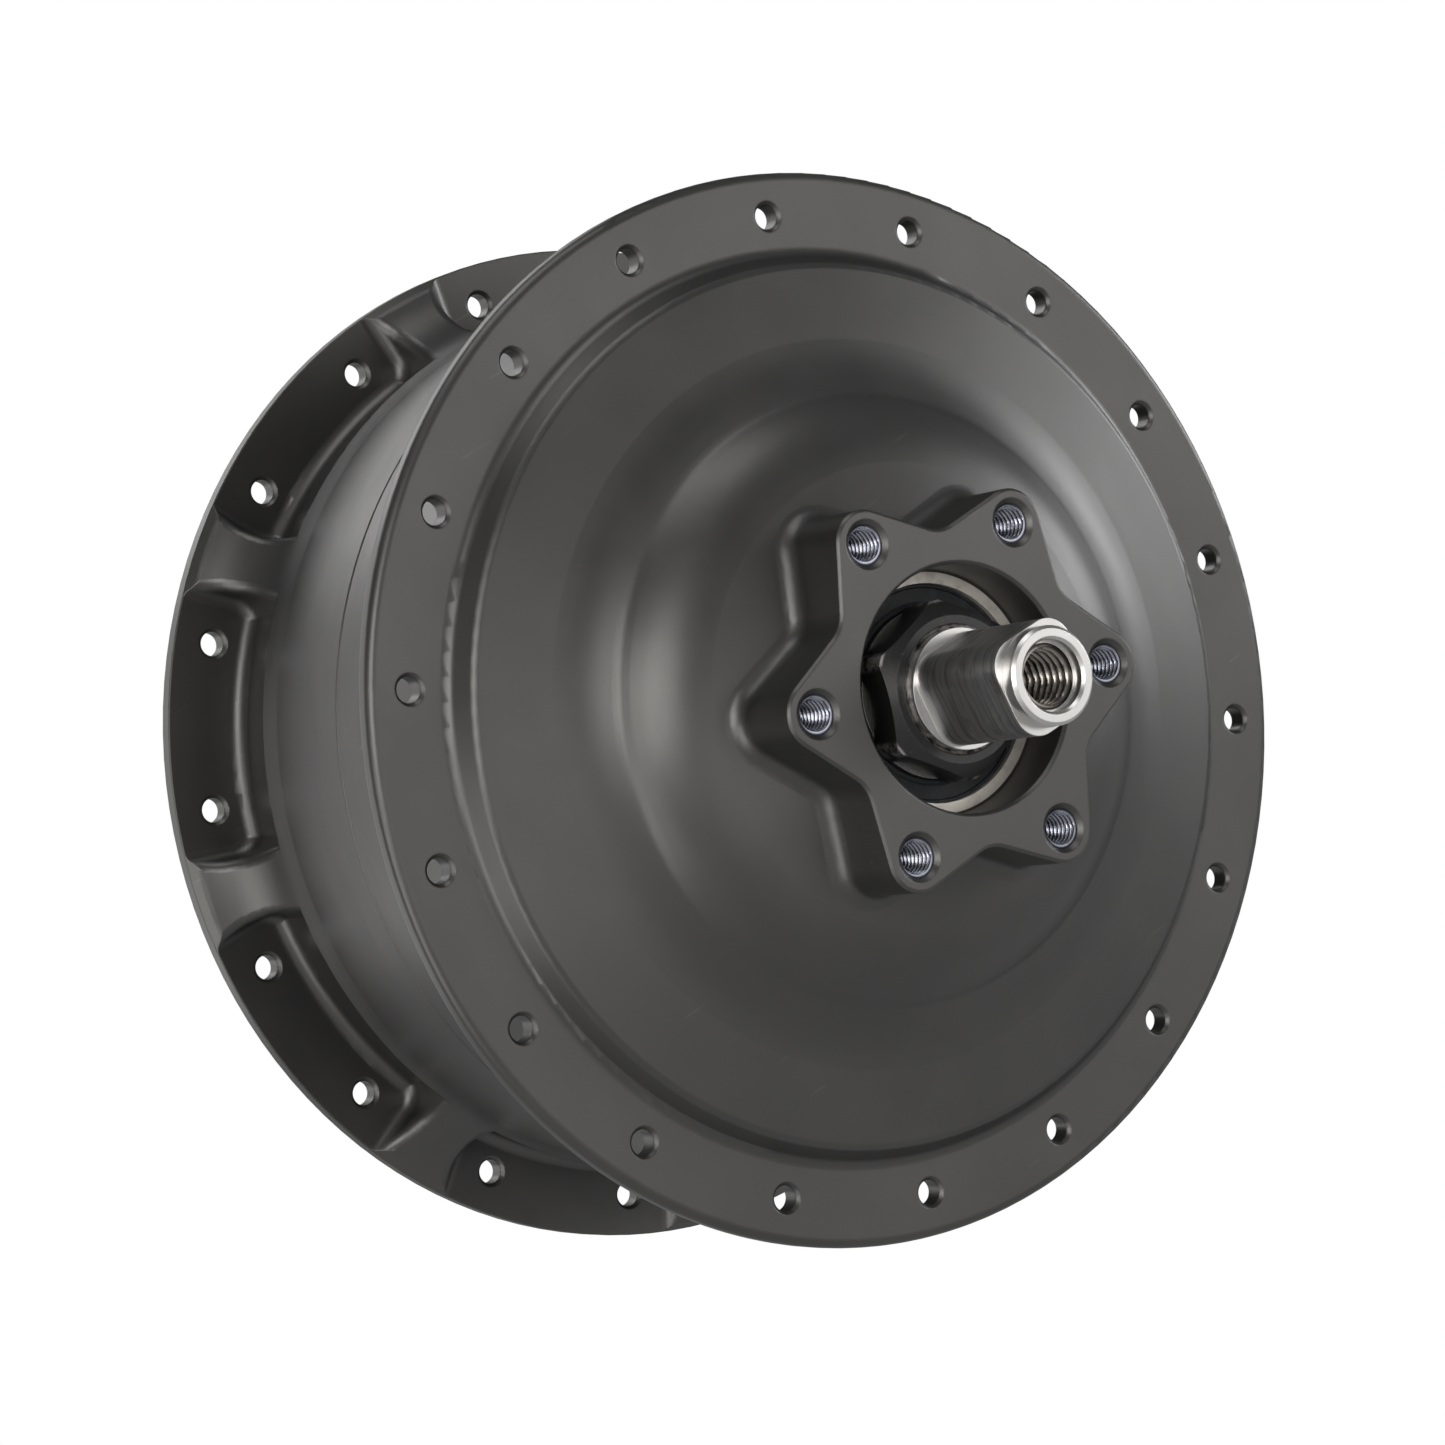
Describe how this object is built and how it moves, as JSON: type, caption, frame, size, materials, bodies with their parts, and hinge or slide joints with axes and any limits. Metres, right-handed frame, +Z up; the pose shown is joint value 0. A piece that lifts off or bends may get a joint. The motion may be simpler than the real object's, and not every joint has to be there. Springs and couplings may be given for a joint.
{
  "type": "bicycle hub gear",
  "caption": "Stepless ball-planetary bicycle hub gear: domed anodised shell, two drilled spoke flanges, six-armed disc-brake mount and a hollow threaded axle.",
  "frame": {"origin": "on the hub axis, half way between the two dropout shoulders", "axes": "+Y along the axle towards the sprocket side, -Y towards the brake disc, +Z up"},
  "size_m": [0.1368, 0.1522, 0.1368],
  "materials": {
    "axle_steel": "turned and milled steel, satin, bright on the tips and shoulders",
    "black_oxide": "black-oxide steel, worn bright along its edges",
    "bright_steel": "bright turned steel",
    "anodised_cover": "dark grey anodised aluminium, satin",
    "anodised_drum": "dark grey anodised aluminium, satin",
    "seal_rubber": "dark grey nitrile rubber, matte",
    "black_plastic": "black moulded plastic, matte",
    "bush_bronze": "oiled bronze",
    "spring_steel": "dark spring steel",
    "hardened_steel": "hardened steel, ground",
    "plate_aluminium": "machined aluminium",
    "bearing_steel": "polished bearing steel"
  },
  "bodies": {
    "frame_side": {"axle": "axle_steel", "disc_side_locknut": "black_oxide", "drive_side_locknut": "black_oxide", "drive_side_washer": "bright_steel", "stator_plate_disc_side": "plate_aluminium", "stator_plate_drive_side": "plate_aluminium", "stator_pillars": "bearing_steel", "stator_key": "bearing_steel", "support_tube": "hardened_steel", "support_circlip": "spring_steel", "idler_spacers": "plate_aluminium", "disc_bearing_inner_ring": "bearing_steel", "driver_bearing_inner_ring": "bearing_steel", "idler_bearing_inner_rings": "bearing_steel"},
    "hub_shell": {"shell_cover": "anodised_cover", "shell_drum": "anodised_drum", "cover_o_ring": "seal_rubber", "output_ring": "bearing_steel", "disc_bearing_outer_ring": "bearing_steel", "disc_bearing_seal": "seal_rubber", "drive_bearing_outer_ring": "bearing_steel", "drive_side_dust_cap": "black_plastic"},
    "driver": {"input_driver": "hardened_steel", "input_ring": "bearing_steel", "cam_rollers": "bearing_steel", "clutch_rollers": "bearing_steel", "drive_bearing_inner_ring": "bearing_steel", "driver_bearing_outer_ring": "bearing_steel"},
    "sprocket_carrier": {"sprocket_carrier": "hardened_steel", "carrier_bushes": "bush_bronze"},
    "idler": {"idler_ring": "bearing_steel", "idler_bearing_outer_rings": "bearing_steel"},
    "shifter": {"shift_tube": "bright_steel", "shift_pins": "bearing_steel", "iris_plate": "hardened_steel"},
    "disc_bearing_cage": {"disc_bearing_balls": "bearing_steel"},
    "drive_bearing_cage": {"drive_bearing_balls": "bearing_steel"},
    "driver_bearing_cage": {"driver_bearing_balls": "bearing_steel"},
    "idler_bearing_cage": {"idler_bearing_balls": "bearing_steel"},
    "tilt_axle_1": {"ball_axle_1": "bearing_steel"},
    "ball_1": {"planet_ball_1": "bearing_steel"},
    "tilt_axle_2": {"ball_axle_2": "bearing_steel"},
    "ball_2": {"planet_ball_2": "bearing_steel"},
    "tilt_axle_3": {"ball_axle_3": "bearing_steel"},
    "ball_3": {"planet_ball_3": "bearing_steel"},
    "tilt_axle_4": {"ball_axle_4": "bearing_steel"},
    "ball_4": {"planet_ball_4": "bearing_steel"},
    "tilt_axle_5": {"ball_axle_5": "bearing_steel"},
    "ball_5": {"planet_ball_5": "bearing_steel"},
    "tilt_axle_6": {"ball_axle_6": "bearing_steel"},
    "ball_6": {"planet_ball_6": "bearing_steel"},
    "tilt_axle_7": {"ball_axle_7": "bearing_steel"},
    "ball_7": {"planet_ball_7": "bearing_steel"},
    "tilt_axle_8": {"ball_axle_8": "bearing_steel"},
    "ball_8": {"planet_ball_8": "bearing_steel"}
  },
  "joints": [
    {"name": "hub_spin", "type": "hinge", "parent": "frame_side", "child": "hub_shell", "pos_m": [0, 0, 0], "axis": [0, 1, 0], "continuous": true},
    {"name": "driver_spin", "type": "hinge", "parent": "frame_side", "child": "driver", "pos_m": [0, 0, 0], "axis": [0, 1, 0], "continuous": true},
    {"name": "freewheel_spin", "type": "hinge", "parent": "driver", "child": "sprocket_carrier", "pos_m": [0, 0, 0], "axis": [0, 1, 0], "continuous": true},
    {"name": "idler_spin", "type": "hinge", "parent": "frame_side", "child": "idler", "pos_m": [0, 0, 0], "axis": [0, 1, 0], "continuous": true},
    {"name": "shift_turn", "type": "hinge", "parent": "frame_side", "child": "shifter", "pos_m": [0, 0, 0], "axis": [0, 1, 0], "range_deg": [-30, 30]},
    {"name": "disc_cage_spin", "type": "hinge", "parent": "frame_side", "child": "disc_bearing_cage", "pos_m": [0, 0, 0], "axis": [0, 1, 0], "continuous": true},
    {"name": "drive_cage_spin", "type": "hinge", "parent": "frame_side", "child": "drive_bearing_cage", "pos_m": [0, 0, 0], "axis": [0, 1, 0], "continuous": true},
    {"name": "driver_cage_spin", "type": "hinge", "parent": "frame_side", "child": "driver_bearing_cage", "pos_m": [0, 0, 0], "axis": [0, 1, 0], "continuous": true},
    {"name": "idler_cage_spin", "type": "hinge", "parent": "frame_side", "child": "idler_bearing_cage", "pos_m": [0, 0, 0], "axis": [0, 1, 0], "continuous": true},
    {"name": "tilt_1", "type": "hinge", "parent": "frame_side", "child": "tilt_axle_1", "pos_m": [0.036, -0.006, 0], "axis": [0, 0, -1], "range_deg": [-18, 18]},
    {"name": "ball_spin_1", "type": "hinge", "parent": "tilt_axle_1", "child": "ball_1", "pos_m": [0.036, -0.006, 0], "axis": [0, 1, 0], "continuous": true},
    {"name": "tilt_2", "type": "hinge", "parent": "frame_side", "child": "tilt_axle_2", "pos_m": [0.02546, -0.006, 0.02546], "axis": [0.7071, 0, -0.7071], "range_deg": [-18, 18]},
    {"name": "ball_spin_2", "type": "hinge", "parent": "tilt_axle_2", "child": "ball_2", "pos_m": [0.02546, -0.006, 0.02546], "axis": [0, 1, 0], "continuous": true},
    {"name": "tilt_3", "type": "hinge", "parent": "frame_side", "child": "tilt_axle_3", "pos_m": [0, -0.006, 0.036], "axis": [1, 0, 0], "range_deg": [-18, 18]},
    {"name": "ball_spin_3", "type": "hinge", "parent": "tilt_axle_3", "child": "ball_3", "pos_m": [0, -0.006, 0.036], "axis": [0, 1, 0], "continuous": true},
    {"name": "tilt_4", "type": "hinge", "parent": "frame_side", "child": "tilt_axle_4", "pos_m": [-0.02546, -0.006, 0.02546], "axis": [0.7071, 0, 0.7071], "range_deg": [-18, 18]},
    {"name": "ball_spin_4", "type": "hinge", "parent": "tilt_axle_4", "child": "ball_4", "pos_m": [-0.02546, -0.006, 0.02546], "axis": [0, 1, 0], "continuous": true},
    {"name": "tilt_5", "type": "hinge", "parent": "frame_side", "child": "tilt_axle_5", "pos_m": [-0.036, -0.006, 0], "axis": [0, 0, 1], "range_deg": [-18, 18]},
    {"name": "ball_spin_5", "type": "hinge", "parent": "tilt_axle_5", "child": "ball_5", "pos_m": [-0.036, -0.006, 0], "axis": [0, 1, 0], "continuous": true},
    {"name": "tilt_6", "type": "hinge", "parent": "frame_side", "child": "tilt_axle_6", "pos_m": [-0.02546, -0.006, -0.02546], "axis": [-0.7071, 0, 0.7071], "range_deg": [-18, 18]},
    {"name": "ball_spin_6", "type": "hinge", "parent": "tilt_axle_6", "child": "ball_6", "pos_m": [-0.02546, -0.006, -0.02546], "axis": [0, 1, 0], "continuous": true},
    {"name": "tilt_7", "type": "hinge", "parent": "frame_side", "child": "tilt_axle_7", "pos_m": [0, -0.006, -0.036], "axis": [-1, 0, 0], "range_deg": [-18, 18]},
    {"name": "ball_spin_7", "type": "hinge", "parent": "tilt_axle_7", "child": "ball_7", "pos_m": [0, -0.006, -0.036], "axis": [0, 1, 0], "continuous": true},
    {"name": "tilt_8", "type": "hinge", "parent": "frame_side", "child": "tilt_axle_8", "pos_m": [0.02546, -0.006, -0.02546], "axis": [-0.7071, 0, -0.7071], "range_deg": [-18, 18]},
    {"name": "ball_spin_8", "type": "hinge", "parent": "tilt_axle_8", "child": "ball_8", "pos_m": [0.02546, -0.006, -0.02546], "axis": [0, 1, 0], "continuous": true}
  ],
  "couplings": [
    {"joint": "driver_spin", "follows": "hub_spin", "ratio": 1},
    {"joint": "idler_spin", "follows": "hub_spin", "ratio": -2.7301},
    {"joint": "disc_cage_spin", "follows": "hub_spin", "ratio": 0.56809},
    {"joint": "drive_cage_spin", "follows": "hub_spin", "ratio": 1},
    {"joint": "driver_cage_spin", "follows": "hub_spin", "ratio": 0.55161},
    {"joint": "idler_cage_spin", "follows": "hub_spin", "ratio": -1.5331},
    {"joint": "tilt_1", "follows": "shift_turn", "ratio": 0.6},
    {"joint": "ball_spin_1", "follows": "hub_spin", "ratio": 5.0088},
    {"joint": "tilt_2", "follows": "shift_turn", "ratio": 0.6},
    {"joint": "ball_spin_2", "follows": "hub_spin", "ratio": 5.0088},
    {"joint": "tilt_3", "follows": "shift_turn", "ratio": 0.6},
    {"joint": "ball_spin_3", "follows": "hub_spin", "ratio": 5.0088},
    {"joint": "tilt_4", "follows": "shift_turn", "ratio": 0.6},
    {"joint": "ball_spin_4", "follows": "hub_spin", "ratio": 5.0088},
    {"joint": "tilt_5", "follows": "shift_turn", "ratio": 0.6},
    {"joint": "ball_spin_5", "follows": "hub_spin", "ratio": 5.0088},
    {"joint": "tilt_6", "follows": "shift_turn", "ratio": 0.6},
    {"joint": "ball_spin_6", "follows": "hub_spin", "ratio": 5.0088},
    {"joint": "tilt_7", "follows": "shift_turn", "ratio": 0.6},
    {"joint": "ball_spin_7", "follows": "hub_spin", "ratio": 5.0088},
    {"joint": "tilt_8", "follows": "shift_turn", "ratio": 0.6},
    {"joint": "ball_spin_8", "follows": "hub_spin", "ratio": 5.0088}
  ]
}
